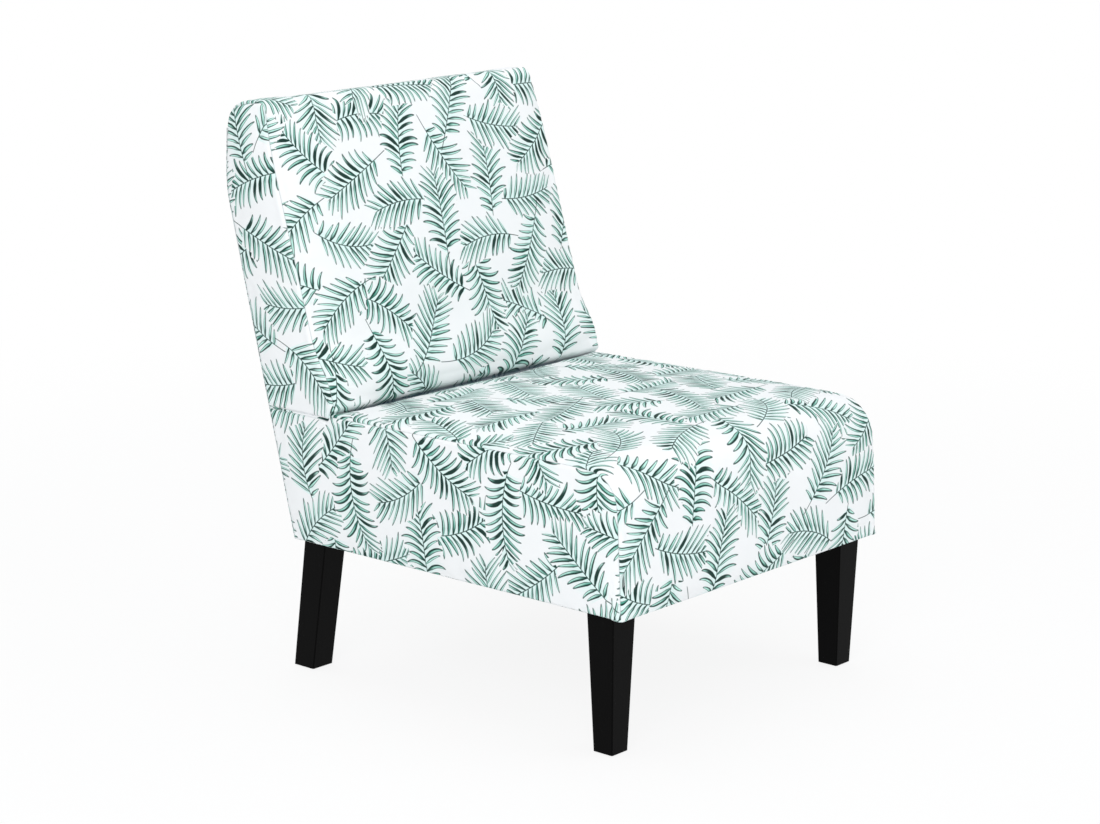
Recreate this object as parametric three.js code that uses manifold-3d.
// A slipper chair: a low armless chair with a box seat, a raked wedge back and four tapered legs.
// Millimetres. Width lies along X, the chair faces -Y, and it stands on Z = 0.
// Depths are measured back from the foot of the front face, and the whole chair is centred at the end.
import * as THREE from "three";
import * as BufferGeometryUtils from "three/addons/utils/BufferGeometryUtils.js";
import Module from "manifold-3d";

// The seat's outside: its box stands on the legs, with its top a little higher in front than at the crease
const chairWidth = 584;
const legHeight = 200;
const seatBoxHeight = 197;
const seatFrontRise = 5;
const frontLean = 9.5;
const waterfallRadius = 48;
const creaseDepth = 541;
const rearFootSetback = 80;

// The back's outside: its front face leans back from the crease, and its rear face has a knee near the top
const seamDrop = 7;
const backRise = 436;
const backRecline = 130;
const backTopThickness = 72;
const backTopFall = 9;
const kneeDrop = 130;
const kneeProud = 5;
const kneeRadius = 170;
const frontTopRadius = 14;
const rearTopRadius = 36;
const seamRound = 9;
const cutOverrun = 12;

// How far the padding stands out of those outlines
const seatCrown = 10;
const frontCrown = 5;
const backCrown = 9;
const lumbarSwell = 14;
const lumbarStart = 9;
const lumbarRise = 13;
const lumbarHold = 14;
const lumbarFade = 85;
const sideBulge = 2.5;
const cornerDraw = 9;
const cornerDrawHeight = 120;

// Fabric, padding and fits
const coverThickness = 1.5;
const gap = 0.3;
const hemWidth = 27;
const hemClearance = 0.5;
const tuckClearance = 11;
const paddingThickness = 8;
const seatFoamDepth = 90;

// Timber
const boardThickness = 20;
const deckRailHeight = 45;
const deckRailSetback = 5;
const postThickness = 30;
const postFootDepth = 60;
const postTopDepth = 32;
const postTopCover = 30;
const kneeEase = 3;
const backRailHeight = 50;
const backRailThickness = 22;
const bottomRailDrop = 45;
const blockLeg = 62;
const blockHeight = 60;

// Webbing
const strapWidth = 50;
const strapThickness = 1.5;
const seatStrapCount = 4;
const crossStrapCount = 3;
const backStrapCount = 3;
const backStrapMargin = 12;

// Legs, their fixings and the floor glides
const legInsetX = 35.5;
const frontLegInset = 47.3;
const rearLegInset = 31.7;
const rearLegRake = 30.2;
const frontLegTop = 47;
const frontLegFoot = 33.5;
const rearLegTop = 43;
const rearLegFoot = 40;
const legChamfer = 1.5;
const glideRadius = 10;
const glideThickness = 2;
const glideRound = 0.8;
const nailRadius = 1.4;
const nailLength = 14;
const legBoltRadius = 4;
const legBoltBelow = 48;
const legBoltShort = 1;
const boltPoint = 6;
const boltPointRadius = 1.3;
const boltChamfer = 1;
const insertRadius = 5.5;
const insertLength = 18;
const frontBoltInsetX = 8.5;
const frontBoltInsetY = 8;
const rearBoltInsetX = 6.5;
const dustThickness = 1;
const dustSetback = 14;
const dustLegClearance = 1;

// The bolts that hold the back's posts to the side rails
const backBoltRadius = 4;
const backBoltLowEdge = 30;
const backBoltTopEdge = 22;
const backBoltFromRail = 11;
const headRadius = 7;
const headHeight = 4.5;
const washerRadius = 8.5;
const washerThickness = 1.6;
const nutFlangeRadius = 8.5;
const nutFlangeThickness = 1.5;
const nutBarrelRadius = 5.2;
const nutBarrelLength = 10;

// How finely the curved forms are cut
const roundSides = 14;
const stationCount = 7;
const seamSteps = 2;
const crownPower = 2.4;
const capRingShares = [0.72, 0.36];
const seatTopSteps = 7;
const seatFrontSteps = 4;
const seatRearSteps = 2;
const backRearSteps = 3;
const waterfallSteps = 6;
const kneeSteps = 4;
const rearTopSteps = 4;
const frontTopSteps = 3;
const boltHeadSides = 6;

// Where the back's front face is divided, as shares of its height from the crease up: closely at the roll
const backFrontShares = [
  0.028, 0.05, 0.062, 0.075, 0.09, 0.115, 0.15, 0.2, 0.27, 0.38, 0.52, 0.68, 0.84, 0.95,
];

// The heights and depths that follow
const half = chairWidth / 2;
const far = 2 * chairWidth;
const upholsteryBottom = legHeight;
const seatCreaseHeight = upholsteryBottom + seatBoxHeight;
const seatFrontHeight = seatCreaseHeight + seatFrontRise;
const backSeamHeight = seatCreaseHeight - seamDrop;
const backHeight = seatCreaseHeight + backRise;
const rearFootDepth = creaseDepth + rearFootSetback;
const backTopFrontDepth = creaseDepth + backRecline;
const backTopRearDepth = backTopFrontDepth + backTopThickness;
const kneeHeight = backHeight - kneeDrop;
const kneeDepth = backTopRearDepth + kneeProud;
const frontSlope = frontLean / (seatFrontHeight - upholsteryBottom);
const rearSlope = (kneeDepth - rearFootDepth) / (kneeHeight - upholsteryBottom);
const backSlope = (backTopFrontDepth - creaseDepth) / (backHeight - backSeamHeight);
const padInside = coverThickness + gap;
const railFace = half - coverThickness - gap - paddingThickness;
const railInner = railFace - boardThickness;
const frameBottom = upholsteryBottom + coverThickness + hemClearance;
const railTop = seatCreaseHeight - seatFoamDepth;
const sideRailTop = railTop + strapThickness + gap;
const frontRailFace = frontLean + paddingThickness;
const deckRear = creaseDepth - deckRailSetback;
const deckBottom = sideRailTop + gap + strapThickness + gap;
const legTop = upholsteryBottom - gap;
const postOuter = railInner - gap;
const postInner = postOuter - postThickness;
const panelHalf = half - seamRound;
const panelTop = backHeight - backTopFall - rearTopRadius;
const tuckBottom = deckBottom + tuckClearance;
const legCentreX = half - legInsetX;
const rearLegDepth = rearFootDepth - rearLegInset;
const frontBoltX = legCentreX - frontBoltInsetX;
const frontBoltDepth = frontLegInset + frontBoltInsetY;
const rearBoltX = legCentreX - rearBoltInsetX;
const rearBoltDepth = rearLegDepth;
const backBoltHeights = [frameBottom + backBoltLowEdge, railTop - backBoltTopEdge];

function rearDepthAt(height) {
  return rearFootDepth + rearSlope * (height - upholsteryBottom);
}

const rearRailFace = rearFootDepth - coverThickness - gap - paddingThickness;
const backBoltDepth = rearRailFace - boardThickness - backBoltFromRail;
const postFootFront = rearRailFace - postFootDepth;
const postTopHeight = backHeight - postTopCover;
const postTopRear = backTopRearDepth - coverThickness - gap - paddingThickness;
const postTopFront = postTopRear - postTopDepth;
const postSlope = (postTopFront - postFootFront) / (postTopHeight - frameBottom);

function postFrontAt(height) {
  return postFootFront + postSlope * (height - frameBottom);
}

// Solids and booleans

const wasm = await Module();
wasm.setup();

function solidOf(geometry) {
  const bare = geometry.clone();
  bare.deleteAttribute("normal");
  bare.deleteAttribute("uv");
  const merged = BufferGeometryUtils.mergeVertices(bare);
  const corners = merged.index.array;
  const kept = [];
  for (let i = 0; i < corners.length; i += 3) {
    const [a, b, c] = [corners[i], corners[i + 1], corners[i + 2]];
    if (a !== b && b !== c && c !== a) kept.push(a, b, c);
  }
  const mesh = new wasm.Mesh({
    numProp: 3,
    vertProperties: new Float32Array(merged.attributes.position.array),
    triVerts: new Uint32Array(kept),
  });
  return new wasm.Manifold(mesh);
}

function geometryOf(solid) {
  const mesh = solid.getMesh();
  const geometry = new THREE.BufferGeometry();
  geometry.setAttribute("position", new THREE.BufferAttribute(new Float32Array(mesh.vertProperties), 3));
  geometry.setIndex(new THREE.BufferAttribute(new Uint32Array(mesh.triVerts), 1));
  return geometry;
}

function cut(geometry, ...tools) {
  return geometryOf(tools.reduce((solid, tool) => solid.subtract(solidOf(tool)), solidOf(geometry)));
}

function join(geometry, ...others) {
  return geometryOf(others.reduce((solid, other) => solid.add(solidOf(other)), solidOf(geometry)));
}

function common(geometry, other) {
  return geometryOf(solidOf(geometry).intersect(solidOf(other)));
}

// A board or a cutting block between two corners.
function block(x0, x1, y0, y1, z0, z1) {
  const geometry = new THREE.BoxGeometry(x1 - x0, y1 - y0, z1 - z0);
  geometry.translate((x0 + x1) / 2, (y0 + y1) / 2, (z0 + z1) / 2);
  return geometry;
}

// A side-view outline of [depth, height] points, carried across from x0 to x1.
function sidePrism(points, x0, x1) {
  const shape = new THREE.Shape(points.map(([y, z]) => new THREE.Vector2(y, z)));
  const geometry = new THREE.ExtrudeGeometry(shape, { depth: x1 - x0, bevelEnabled: false });
  const across = new THREE.Vector3(1, 0, 0);
  const back = new THREE.Vector3(0, 1, 0);
  const up = new THREE.Vector3(0, 0, 1);
  geometry.applyMatrix4(new THREE.Matrix4().makeBasis(back, up, across));
  geometry.translate(x0, 0, 0);
  return geometry;
}

// A plan outline of [x, depth] points, raised from z0 to z1.
function planPrism(points, z0, z1) {
  const shape = new THREE.Shape(points.map(([x, y]) => new THREE.Vector2(x, y)));
  const geometry = new THREE.ExtrudeGeometry(shape, { depth: z1 - z0, bevelEnabled: false });
  geometry.translate(0, 0, z0);
  return geometry;
}

// A turned piece about Z, from [radius, height] points that start and end on the axis.
function turned(points, sides = roundSides) {
  const geometry = new THREE.LatheGeometry(points.map(([r, z]) => new THREE.Vector2(r, z)), sides);
  geometry.rotateX(Math.PI / 2);
  return geometry;
}

function rod(radius, z0, z1, sides = roundSides) {
  return turned([[0, z0], [radius, z0], [radius, z1], [0, z1]], sides);
}

// Soft forms

function interpolate(t, start, middle, end) {
  return start * (2 * t - 1) * (t - 1) + middle * 4 * t * (1 - t) + end * t * (2 * t - 1);
}

function easeStep(t) {
  const share = Math.min(1, Math.max(0, t));
  return share * share * (3 - 2 * share);
}

// Walks a side-view outline, drawn in by inset, with each corner rounded. A corner has its spot, radius
// and crown, and the edge that leaves it has step shares and a crown at its middle. Each point comes
// back with its outward direction and its crown. The corners run with the body on their left, and a
// radius is larger than any inset, so that the drawn-in outline runs parallel to the full one.
function walkOutline(corners, inset) {
  const count = corners.length;
  const edges = corners.map((corner, i) => {
    const next = corners[(i + 1) % count];
    const along = new THREE.Vector2(next.y - corner.y, next.z - corner.z).normalize();
    return { along, outward: new THREE.Vector2(along.y, -along.x) };
  });
  const rounded = corners.map((corner, i) => {
    const before = edges[(i + count - 1) % count];
    const after = edges[i];
    const turn = Math.atan2(before.along.cross(after.along), before.along.dot(after.along));
    const reach = corner.radius * Math.tan(turn / 2);
    const middle = before.outward.clone().add(after.outward).normalize();
    const spread = 1 / Math.cos(turn / 2);
    const spot = new THREE.Vector2(corner.y, corner.z);
    const centre = spot.clone().addScaledVector(middle, -corner.radius * spread);
    return { corner, spot, turn, reach, middle, spread, centre };
  });
  const points = [];
  rounded.forEach((here, i) => {
    const { corner, turn, middle, spread, centre } = here;
    if (corner.radius === 0) {
      const spot = here.spot.clone().addScaledVector(middle, -inset * spread);
      points.push({ spot, outward: middle, crown: corner.crown });
    } else {
      for (let k = 0; k <= corner.steps; k++) {
        const outward = middle.clone().rotateAround(new THREE.Vector2(), turn * (k / corner.steps - 1 / 2));
        const spot = centre.clone().addScaledVector(outward, corner.radius - inset);
        points.push({ spot, outward, crown: corner.crown });
      }
    }
    const next = rounded[(i + 1) % count];
    const { along, outward } = edges[i];
    const from = here.spot.clone().addScaledVector(along, here.reach);
    const to = next.spot.clone().addScaledVector(along, -next.reach);
    for (const share of corner.shares) {
      const spot = from.clone().lerp(to, share).addScaledVector(outward, -inset);
      const crown = interpolate(share, corner.crown, corner.middle, next.corner.crown);
      points.push({ spot, outward, crown });
    }
  });
  return points;
}

function evenShares(steps) {
  return Array.from({ length: steps - 1 }, (_, i) => (i + 1) / steps);
}

// The stations across the chair: the seams' rounding at each side and even steps between.
function stations(inset) {
  const round = seamRound - inset;
  const flat = half - seamRound;
  const list = [];
  for (let k = 0; k < seamSteps; k++) {
    const angle = (Math.PI / 2) * (1 - k / seamSteps);
    list.push({ x: -flat - round * Math.sin(angle), inset: inset + round * (1 - Math.cos(angle)) });
  }
  for (let k = 0; k < stationCount; k++) {
    list.push({ x: -flat + (2 * flat * k) / (stationCount - 1), inset });
  }
  const mirrored = list.slice(0, seamSteps).reverse();
  return list.concat(mirrored.map((station) => ({ x: -station.x, inset: station.inset })));
}

// A padded body across the chair. The shaping says how far a height lets the crown stand out on the front,
// how far the whole width swells there, and how much the body draws in.
function softForm(corners, inset, shaping) {
  const rings = stations(inset).map((station) => {
    const across = 1 - Math.abs(station.x / half) ** crownPower;
    return walkOutline(corners, station.inset).map(({ spot, outward, crown }) => {
      const faced = outward.x < 0 ? shaping.front(spot.y) : { hold: 1, swell: 0 };
      const proud = crown * across * faced.hold + faced.swell;
      const y = spot.x + outward.x * proud;
      const z = spot.y + outward.y * proud;
      return new THREE.Vector3(station.x * shaping.draw(z), y, z);
    });
  });
  const capped = [...sideCap(rings[0], -1).reverse(), ...rings, ...sideCap(rings[rings.length - 1], 1)];
  return closeRings(capped);
}

// The rings of a side panel, which bulges a little towards its middle.
function sideCap(ring, side) {
  const middle = centreOf(ring);
  return capRingShares.map((share) => ring.map((point) => {
    const inner = middle.clone().lerp(point, share);
    inner.x += side * sideBulge * (1 - share * share);
    return inner;
  }));
}

// The centre of a ring's edge, whichever way its points are spread.
function centreOf(ring) {
  const sum = new THREE.Vector3();
  let around = 0;
  ring.forEach((point, i) => {
    const next = ring[(i + 1) % ring.length];
    const span = point.distanceTo(next);
    sum.addScaledVector(point.clone().add(next), span / 2);
    around += span;
  });
  return sum.divideScalar(around);
}

// Joins rings of equal length along X into a closed body, with a point at each end.
function closeRings(rings) {
  const size = rings[0].length;
  const points = rings.flat();
  const first = points.push(endPoint(rings[0], -1)) - 1;
  const last = points.push(endPoint(rings[rings.length - 1], 1)) - 1;
  const faces = [];
  for (let k = 0; k < size; k++) {
    const next = (k + 1) % size;
    for (let r = 0; r + 1 < rings.length; r++) {
      const [a, b] = [r * size + k, r * size + next];
      const [c, d] = [a + size, b + size];
      faces.push(a, b, d, a, d, c);
    }
    const base = (rings.length - 1) * size;
    faces.push(first, next, k, last, base + k, base + next);
  }
  const geometry = new THREE.BufferGeometry();
  geometry.setAttribute("position", new THREE.Float32BufferAttribute(points.flatMap((p) => p.toArray()), 3));
  geometry.setIndex(faces);
  return geometry;
}

function endPoint(ring, side) {
  const point = centreOf(ring);
  const lastShare = capRingShares[capRingShares.length - 1];
  point.x += side * sideBulge * lastShare * lastShare;
  return point;
}

const plainShaping = { front: () => ({ hold: 1, swell: 0 }), draw: () => 1 };

// The seat box from the front foot to the rear foot, taken below its hem so that it can be cut flat.
function seatForm(inset) {
  const low = upholsteryBottom - cutOverrun;
  return softForm([
    { y: -frontSlope * cutOverrun, z: low, radius: 0, crown: 0, middle: 0, shares: [] },
    { y: rearDepthAt(low), z: low, radius: 0, crown: 0, middle: 0, shares: evenShares(seatRearSteps) },
    { y: rearDepthAt(seatCreaseHeight), z: seatCreaseHeight, radius: 0, crown: 0, middle: 0, shares: [] },
    {
      y: creaseDepth, z: seatCreaseHeight, radius: 0,
      crown: 0, middle: seatCrown, shares: evenShares(seatTopSteps),
    },
    {
      y: frontLean, z: seatFrontHeight, radius: waterfallRadius, steps: waterfallSteps,
      crown: frontCrown, middle: frontCrown, shares: evenShares(seatFrontSteps),
    },
  ], inset, plainShaping);
}

// The back's front face stays flat at the crease. Over it a soft roll swells out, and fades upwards.
function lumbar(height) {
  const above = height - backSeamHeight - lumbarStart;
  const hold = easeStep(above / lumbarRise);
  const fade = 1 - easeStep((above - lumbarRise - lumbarHold) / lumbarFade);
  return { hold, swell: lumbarSwell * hold * fade };
}

// The upper corners of the back draw in where the fabric is pulled over them.
function drawnCorner(height) {
  const share = Math.max(0, (height - (backHeight - cornerDrawHeight)) / cornerDrawHeight);
  return 1 - (cornerDraw / half) * share * share;
}

function backForm(inset) {
  const low = backSeamHeight - cutOverrun;
  return softForm([
    { y: creaseDepth - backSlope * cutOverrun, z: low, radius: 0, crown: 0, middle: 0, shares: [] },
    { y: rearDepthAt(low), z: low, radius: 0, crown: 0, middle: 0, shares: evenShares(backRearSteps) },
    { y: kneeDepth, z: kneeHeight, radius: kneeRadius, steps: kneeSteps, crown: 0, middle: 0, shares: [] },
    {
      y: backTopRearDepth, z: backHeight - backTopFall, radius: rearTopRadius, steps: rearTopSteps,
      crown: 0, middle: 0, shares: [],
    },
    {
      y: backTopFrontDepth, z: backHeight, radius: frontTopRadius, steps: frontTopSteps,
      crown: 0, middle: backCrown, shares: backFrontShares.map((share) => 1 - share).reverse(),
    },
  ], inset, { front: lumbar, draw: drawnCorner });
}

// The rear face in the side view, from the hem to below the top seam.
function rearPath() {
  const knee = walkOutline([
    { y: creaseDepth, z: upholsteryBottom, radius: 0, crown: 0, middle: 0, shares: [] },
    { y: rearFootDepth, z: upholsteryBottom, radius: 0, crown: 0, middle: 0, shares: [] },
    { y: kneeDepth, z: kneeHeight, radius: kneeRadius, steps: kneeSteps, crown: 0, middle: 0, shares: [] },
    { y: backTopRearDepth, z: backHeight - backTopFall, radius: 0, crown: 0, middle: 0, shares: [] },
  ], 0);
  const rear = knee.slice(1).map((point) => point.spot);
  const top = rear.pop();
  const above = rear[rear.length - 1];
  const share = (panelTop - above.y) / (top.y - above.y);
  return [...rear, above.clone().lerp(top, share)];
}

// A sheet along the rear face: so far in front of it and behind it, so wide, and so much longer at its ends.
function rearPanel(front, behind, across, below, top) {
  const path = rearPath();
  const outer = path.map((p) => [p.x + behind, p.y]);
  const inner = path.map((p) => [p.x - front, p.y]).reverse();
  const highest = outer.length - 1;
  outer[0][1] -= below;
  inner[inner.length - 1][1] -= below;
  outer[highest][1] += top;
  inner[0][1] += top;
  return sidePrism([...outer, ...inner], -across, across);
}

// Everything under one height, over it, or behind one depth, as a cutting block.
function under(height) {
  return block(-far, far, -far, far, height - far, height);
}

function over(height) {
  return block(-far, far, -far, far, height, height + far);
}

function behindDepth(depth) {
  return block(-far, far, depth, depth + far, -far, far);
}

function seatCover() {
  const inside = cut(seatForm(coverThickness), under(upholsteryBottom + coverThickness));
  const opening = block(
    -half + hemWidth, half - hemWidth, hemWidth, rearFootDepth - hemWidth,
    upholsteryBottom - cutOverrun, frameBottom,
  );
  const boltHoles = [-1, 1].flatMap((side) => [
    legBoltHole(side * frontBoltX, frontBoltDepth),
    legBoltHole(side * rearBoltX, rearBoltDepth),
  ]);
  const shell = cut(seatForm(0), under(upholsteryBottom), inside, opening, ...boltHoles);
  const backPlace = block(-far, far, creaseDepth - gap, far, backSeamHeight, far);
  const panelPlace = rearPanel(paddingThickness, paddingThickness, panelHalf, cutOverrun, 0);
  const trimmed = cut(shell, backPlace, panelPlace);
  const tuckRear = creaseDepth - gap;
  const tuckHalf = railFace - gap;
  const tuckTop = seatCreaseHeight - coverThickness / 2;
  const tuck = block(-tuckHalf, tuckHalf, tuckRear - coverThickness, tuckRear, tuckBottom, tuckTop);
  return join(trimmed, tuck);
}

// Where a leg's bolt comes up through the hem.
function legBoltHole(x, depth) {
  const hole = rod(legBoltRadius + gap, upholsteryBottom - cutOverrun, frameBottom);
  hole.translate(x, depth, 0);
  return hole;
}

function seatPadding() {
  return cut(seatForm(padInside), under(frameBottom));
}

function seatFoam() {
  const behindTuck = behindDepth(creaseDepth - coverThickness - 2 * gap);
  return cut(seatPadding(), under(deckBottom), behindTuck);
}

// The wadding round the rails: 8 mm thick on the front and sides, and up to the back behind the crease.
function seatWrap() {
  const front = block(
    -railFace - gap, railFace + gap, frontRailFace - gap, creaseDepth,
    -far, far,
  );
  const rear = sidePrism([
    [creaseDepth - cutOverrun, frameBottom - cutOverrun],
    [rearRailFace + gap - rearSlope * cutOverrun, frameBottom - cutOverrun],
    [rearRailFace + gap + rearSlope * (far - frameBottom), far],
    [creaseDepth - cutOverrun, far],
  ], -railFace - gap, railFace + gap);
  const overDeck = block(-far, far, -far, creaseDepth, deckBottom - gap, far);
  return cut(seatPadding(), front, rear, overDeck, over(backSeamHeight - gap));
}

function backCover() {
  const shell = cut(backForm(0), backForm(coverThickness), under(backSeamHeight + gap));
  const panelPlace = rearPanel(paddingThickness, paddingThickness, panelHalf, cutOverrun, 0);
  return cut(shell, panelPlace);
}

// The space of the back's timber frame and straps, with a running gap round it.
function postSpace(forward, across) {
  const low = frameBottom - cutOverrun;
  const top = postTopHeight + gap;
  return sidePrism([
    [postFrontAt(low) - forward, low],
    [rearDepthAt(low) - padInside - paddingThickness + gap, low],
    [rearDepthAt(kneeHeight) - padInside - paddingThickness + gap - kneeEase, kneeHeight],
    [postTopRear + gap, top],
    [postFrontAt(top) - forward, top],
  ], -across, across);
}

function backPadding() {
  return cut(backForm(padInside), under(backSeamHeight + gap));
}

// In front of the webbing: the back's seat of foam.
function strapPlane(extra) {
  const low = frameBottom - cutOverrun;
  const top = backHeight + cutOverrun;
  const reach = strapThickness + 2 * gap + extra;
  return sidePrism([
    [postFrontAt(low) - reach, low],
    [postFrontAt(low) + far, low],
    [postFrontAt(top) + far, top],
    [postFrontAt(top) - reach, top],
  ], -far, far);
}

function backFoam() {
  return cut(backPadding(), strapPlane(0));
}

function backWrap() {
  const behind = common(backPadding(), strapPlane(-gap));
  return cut(behind, postSpace(strapThickness + 2 * gap, postOuter + gap));
}

// Timber

function post(side) {
  const points = [
    [postFootFront, frameBottom],
    [rearRailFace, frameBottom],
    [rearDepthAt(kneeHeight) - padInside - paddingThickness - kneeEase, kneeHeight],
    [postTopRear, postTopHeight],
    [postTopFront, postTopHeight],
  ];
  const [x0, x1] = side < 0 ? [-postOuter, -postInner] : [postInner, postOuter];
  const holes = backBoltHeights.map((height) => backBoltHole(side, height, backBoltRadius + gap));
  const insert = rod(insertRadius + gap, frameBottom - cutOverrun, frameBottom + insertLength + gap);
  insert.translate(side * rearBoltX, rearBoltDepth, 0);
  return cut(sidePrism(points, x0, x1), insert, ...holes);
}

// A round piece turned about Z from zero, laid along X towards the side and moved to a back bolt's axis.
function alongBackBolt(geometry, side, height, x) {
  geometry.rotateY(side * Math.PI / 2);
  geometry.translate(side * x, backBoltDepth, height);
  return geometry;
}

function backBoltHole(side, height, radius) {
  return alongBackBolt(rod(radius, 0, half), side, height, postInner - cutOverrun);
}

function sideRail(side) {
  const [x0, x1] = side < 0 ? [-railFace, -railInner] : [railInner, railFace];
  const board = block(x0, x1, frontRailFace, rearRailFace, frameBottom, sideRailTop);
  const holes = backBoltHeights.flatMap((height) => [
    backBoltHole(side, height, nutBarrelRadius + gap),
    alongBackBolt(rod(nutFlangeRadius + gap, 0, half), side, height, railFace - nutFlangeThickness - gap),
  ]);
  return cut(board, ...holes);
}

function cornerBlock(side) {
  const x = side * (railInner - gap);
  const y = frontRailFace + boardThickness + gap;
  const points = [[x, y], [x, y + blockLeg], [x - side * blockLeg, y]];
  if (side < 0) points.reverse();
  const insert = rod(insertRadius + gap, frameBottom - cutOverrun, frameBottom + insertLength + gap);
  insert.translate(side * frontBoltX, frontBoltDepth, 0);
  return cut(planPrism(points, frameBottom, frameBottom + blockHeight), insert);
}

// A rail between the posts, its front face in line with theirs.
function backRail(z0) {
  const z1 = z0 + backRailHeight;
  const ends = [[z0, 0], [z0, backRailThickness], [z1, backRailThickness], [z1, 0]];
  const points = ends.map(([z, depth]) => [postFrontAt(z) + depth, z]);
  return sidePrism(points, -postInner + gap, postInner - gap);
}

// Webbing

function longStrap(index) {
  const spacing = (2 * railInner) / seatStrapCount;
  const x = -railInner + spacing * (index + 1 / 2);
  const z = railTop + gap;
  return block(x - strapWidth / 2, x + strapWidth / 2, frontRailFace, deckRear, z, z + strapThickness);
}

function crossStrap(index) {
  const rear = deckRear - boardThickness;
  const front = frontRailFace + boardThickness;
  const y = front + ((rear - front) * (index + 1)) / (crossStrapCount + 1);
  const z = sideRailTop + gap;
  return block(-railFace, railFace, y - strapWidth / 2, y + strapWidth / 2, z, z + strapThickness);
}

function backStrap(index) {
  const low = backSeamHeight + backStrapMargin;
  const top = postTopHeight - backRailHeight;
  const middle = low + ((top - low) * (index + 1 / 2)) / backStrapCount;
  const [z0, z1] = [middle - strapWidth / 2, middle + strapWidth / 2];
  const points = [
    [postFrontAt(z0) - gap - strapThickness, z0],
    [postFrontAt(z0) - gap, z0],
    [postFrontAt(z1) - gap, z1],
    [postFrontAt(z1) - gap - strapThickness, z1],
  ];
  return sidePrism(points, -postOuter, postOuter);
}

// Legs

function squareRing(centreY, size, z) {
  const flat = size / 2 - legChamfer;
  const edge = size / 2;
  const corners = [
    [-flat, -edge], [flat, -edge], [edge, -flat], [edge, flat],
    [flat, edge], [-flat, edge], [-edge, flat], [-edge, -flat],
  ];
  return corners.map(([x, y]) => new THREE.Vector3(x, centreY + y, z));
}

// A tapered leg centred on X = 0, from its foot to its top.
function leg(topDepth, footDepth, topSize, footSize, boltX, boltDepth) {
  const foot = squareRing(footDepth, footSize, glideThickness + gap);
  const top = squareRing(topDepth, topSize, legTop);
  const size = foot.length;
  const points = [...foot, ...top, centreOf(foot), centreOf(top)];
  const faces = [];
  for (let k = 0; k < size; k++) {
    const next = (k + 1) % size;
    faces.push(k, next, size + next, k, size + next, size + k);
    faces.push(next, k, 2 * size, size + k, size + next, 2 * size + 1);
  }
  const geometry = new THREE.BufferGeometry();
  geometry.setAttribute("position", new THREE.Float32BufferAttribute(points.flatMap((p) => p.toArray()), 3));
  geometry.setIndex(faces);
  const bolt = rod(legBoltRadius + gap, legTop - legBoltBelow - gap, legTop + cutOverrun);
  bolt.translate(boltX, boltDepth, 0);
  const nail = rod(nailRadius + gap, -cutOverrun, glideThickness + nailLength + gap);
  nail.translate(0, footDepth, 0);
  return cut(geometry, bolt, nail);
}

function legBolt() {
  const top = frameBottom + insertLength - legBoltShort;
  const bottom = legTop - legBoltBelow;
  return turned([
    [0, bottom], [boltPointRadius, bottom], [legBoltRadius, bottom + boltPoint],
    [legBoltRadius, top - boltChamfer], [legBoltRadius - boltChamfer, top], [0, top],
  ]);
}

function legInsert() {
  const top = frameBottom + insertLength;
  const bore = legBoltRadius + gap;
  const tube = rod(insertRadius, frameBottom, top);
  return cut(tube, rod(bore, frameBottom - cutOverrun, top + cutOverrun));
}

function glide() {
  const top = glideThickness + nailLength;
  return turned([
    [0, 0], [glideRadius - glideRound, 0], [glideRadius, glideRound], [glideRadius, glideThickness],
    [nailRadius, glideThickness], [nailRadius, top - nailRadius], [0, top],
  ]);
}

function dustCover() {
  const side = half - dustSetback;
  const rear = rearFootDepth - dustSetback;
  const top = upholsteryBottom - gap;
  const sheet = block(-side, side, dustSetback, rear, top - dustThickness, top);
  const notches = [-1, 1].flatMap((s) => [
    legNotch(s, frontLegInset, frontLegTop),
    legNotch(s, rearLegDepth, rearLegTop),
  ]);
  return cut(sheet, ...notches);
}

function legNotch(side, depth, size) {
  const reach = size / 2 + dustLegClearance;
  const inner = legCentreX - reach;
  const [x0, x1] = side < 0 ? [-half, -inner] : [inner, half];
  const [y0, y1] = depth < creaseDepth / 2 ? [0, depth + reach] : [depth - reach, rearFootDepth];
  return block(x0, x1, y0, y1, upholsteryBottom - cutOverrun, upholsteryBottom + cutOverrun);
}

// The back's bolts, washers and flanged nuts, each turned about Z from zero.

function backBolt() {
  const length = railFace - postInner + washerThickness + gap;
  const head = rod(headRadius, 0, headHeight, boltHeadSides);
  const shank = rod(backBoltRadius, headHeight / 2, headHeight + length - gap);
  return join(head, shank);
}

function backWasher() {
  const hole = rod(backBoltRadius + gap, -cutOverrun, cutOverrun);
  return cut(rod(washerRadius, 0, washerThickness), hole);
}

function flangedNut() {
  const length = nutBarrelLength + nutFlangeThickness;
  const outside = turned([
    [0, 0], [nutBarrelRadius, 0], [nutBarrelRadius, nutBarrelLength],
    [nutFlangeRadius, nutBarrelLength], [nutFlangeRadius, length], [0, length],
  ]);
  return cut(outside, rod(backBoltRadius + gap, -cutOverrun, length + cutOverrun));
}

// Finishes

const finishes = {
  fabric: { color: 0xe9f0ec, roughness: 0.85, metalness: 0 },
  lining: { color: 0x1b1b1c, roughness: 0.95, metalness: 0 },
  foam: { color: 0xefe6c4, roughness: 0.95, metalness: 0 },
  wadding: { color: 0xf4f4f2, roughness: 1, metalness: 0 },
  webbing: { color: 0x2c2b2a, roughness: 0.9, metalness: 0 },
  pine: { color: 0xd3b07c, roughness: 0.7, metalness: 0 },
  lacquer: { color: 0x0a0a0a, roughness: 0.35, metalness: 0 },
  steel: { color: 0xa9abad, roughness: 0.35, metalness: 1 },
  plastic: { color: 0x151515, roughness: 0.5, metalness: 0 },
};

const chair = new THREE.Group();
const upright = new THREE.Group();
chair.add(upright);

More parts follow.
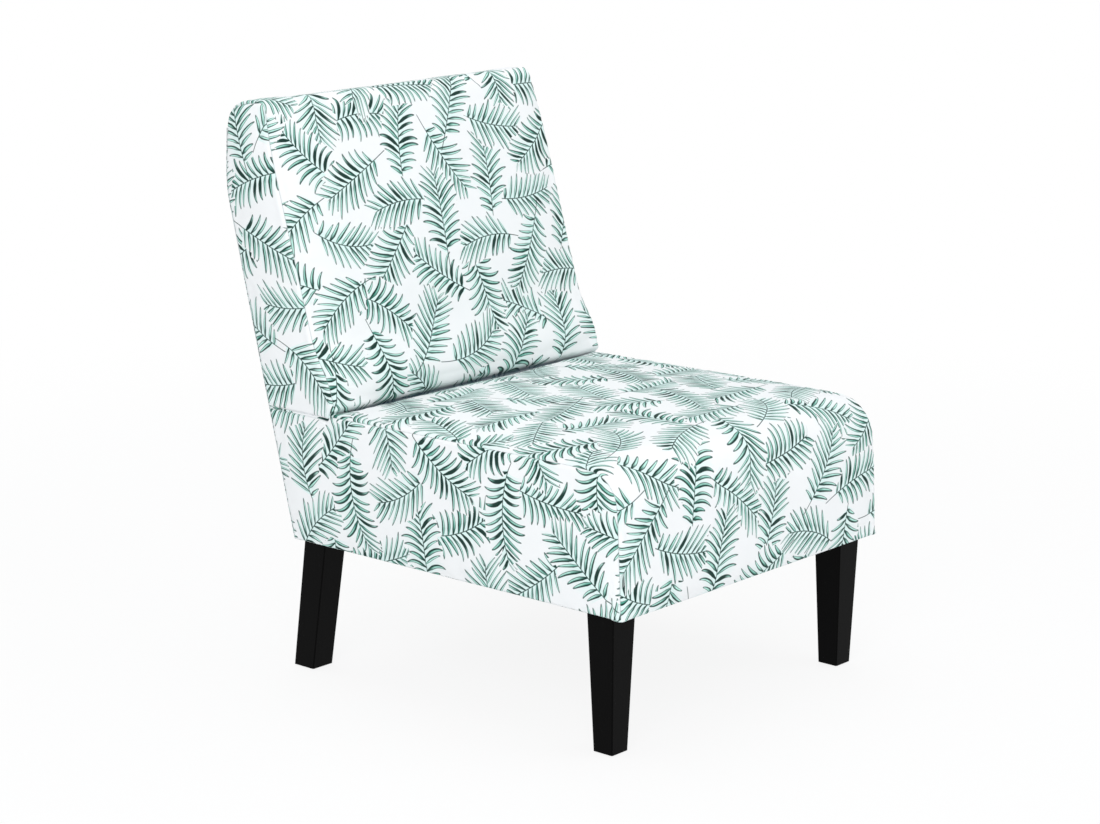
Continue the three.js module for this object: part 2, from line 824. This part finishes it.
function piece(name, geometry, finish, x = 0, y = 0) {
  const mesh = new THREE.Mesh(geometry, new THREE.MeshStandardMaterial(finishes[finish]));
  mesh.name = name;
  mesh.position.set(x, y, 0);
  upright.add(mesh);
}

// The seat's frame and padding
const between = railInner - gap;
piece("seat_rail_front", block(
  -between, between, frontRailFace, frontRailFace + boardThickness, frameBottom, railTop,
), "pine");
piece("seat_rail_deck", block(
  -between, between, deckRear - boardThickness, deckRear, railTop - deckRailHeight, railTop,
), "pine");
piece("seat_rail_rear", block(
  -postInner + gap, postInner - gap, rearRailFace - boardThickness, rearRailFace, frameBottom, railTop,
), "pine");
for (let i = 0; i < seatStrapCount; i++) piece(`seat_strap_long_${i + 1}`, longStrap(i), "webbing");
for (let i = 0; i < crossStrapCount; i++) piece(`seat_strap_cross_${i + 1}`, crossStrap(i), "webbing");
piece("seat_foam", seatFoam(), "foam");
piece("seat_wrap", seatWrap(), "wadding");
piece("seat_cover", seatCover(), "fabric");
piece("dust_cover", dustCover(), "lining");

// The back
piece("back_rail_top", backRail(postTopHeight - backRailHeight), "pine");
piece("back_rail_bottom", backRail(backSeamHeight - bottomRailDrop), "pine");
for (let i = 0; i < backStrapCount; i++) piece(`back_strap_${i + 1}`, backStrap(i), "webbing");
piece("back_foam", backFoam(), "foam");
piece("back_wrap", backWrap(), "wadding");
piece("back_cover", backCover(), "fabric");
piece("outside_back", rearPanel(coverThickness, 0, panelHalf - gap, 0, -gap), "fabric");

// What comes in a left and a right copy
for (const side of [-1, 1]) {
  const hand = side < 0 ? "left" : "right";
  const legX = side * legCentreX;
  const frontBolt = side * frontBoltX;
  const rearBolt = side * rearBoltX;
  piece(`seat_rail_${hand}`, sideRail(side), "pine");
  piece(`back_post_${hand}`, post(side), "pine");
  piece(`corner_block_${hand}`, cornerBlock(side), "pine");
  piece(`leg_front_${hand}`, leg(
    frontLegInset, frontLegInset, frontLegTop, frontLegFoot, frontBolt - legX, frontBoltDepth,
  ), "lacquer", legX);
  piece(`leg_rear_${hand}`, leg(
    rearLegDepth, rearLegDepth + rearLegRake, rearLegTop, rearLegFoot, rearBolt - legX, rearBoltDepth,
  ), "lacquer", legX);
  piece(`leg_bolt_front_${hand}`, legBolt(), "steel", frontBolt, frontBoltDepth);
  piece(`leg_bolt_rear_${hand}`, legBolt(), "steel", rearBolt, rearBoltDepth);
  piece(`leg_insert_front_${hand}`, legInsert(), "steel", frontBolt, frontBoltDepth);
  piece(`leg_insert_rear_${hand}`, legInsert(), "steel", rearBolt, rearBoltDepth);
  piece(`glide_front_${hand}`, glide(), "plastic", legX, frontLegInset);
  piece(`glide_rear_${hand}`, glide(), "plastic", legX, rearLegDepth + rearLegRake);
  backBoltHeights.forEach((height, i) => {
    const name = `${hand}_${i === 0 ? "lower" : "upper"}`;
    const washerX = postInner - gap - washerThickness;
    const headX = washerX - gap - headHeight;
    const nutX = railFace - nutBarrelLength - nutFlangeThickness;
    piece(`back_bolt_${name}`, alongBackBolt(backBolt(), side, height, headX), "steel");
    piece(`back_washer_${name}`, alongBackBolt(backWasher(), side, height, washerX), "steel");
    piece(`back_nut_${name}`, alongBackBolt(flangedNut(), side, height, nutX), "steel");
  });
}

// The footprint's middle goes to the origin.
const extent = new THREE.Box3().setFromObject(upright, true);
upright.position.y = -(extent.min.y + extent.max.y) / 2;

export default chair;
